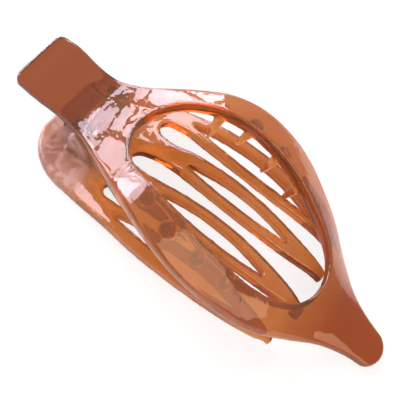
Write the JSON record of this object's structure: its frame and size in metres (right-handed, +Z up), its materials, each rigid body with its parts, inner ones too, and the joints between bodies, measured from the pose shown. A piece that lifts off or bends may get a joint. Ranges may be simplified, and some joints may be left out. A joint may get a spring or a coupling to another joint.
{
  "type": "hair clip",
  "caption": "Flat-lying hair claw clip with a domed oval ring, a finger tab, a duck-bill tip and a comb jaw on a sprung hinge.",
  "frame": {"origin": "bottom centre of the bounding box, on the surface that the shut clip lies on", "axes": "+X along the clip from the finger tab to the tip, +Y across it, +Z up"},
  "size_m": [0.1094, 0.048, 0.0247],
  "materials": {
    "amber_plastic": "gloss",
    "spring_steel": "satin"
  },
  "bodies": {
    "lower": {"lower_jaw": "amber_plastic", "hinge_pin": "spring_steel", "torsion_spring": "spring_steel"},
    "upper": {"upper_jaw": "amber_plastic"}
  },
  "joints": [
    {"name": "jaw_hinge", "type": "hinge", "parent": "lower", "child": "upper", "pos_m": [-0.0346, 0, 0.0082], "axis": [0, -1, 0], "range_deg": [0, 30], "stiffness_Nm_per_rad": 0.08, "springref_deg": -22.92, "deforming": ["torsion_spring"]}
  ]
}
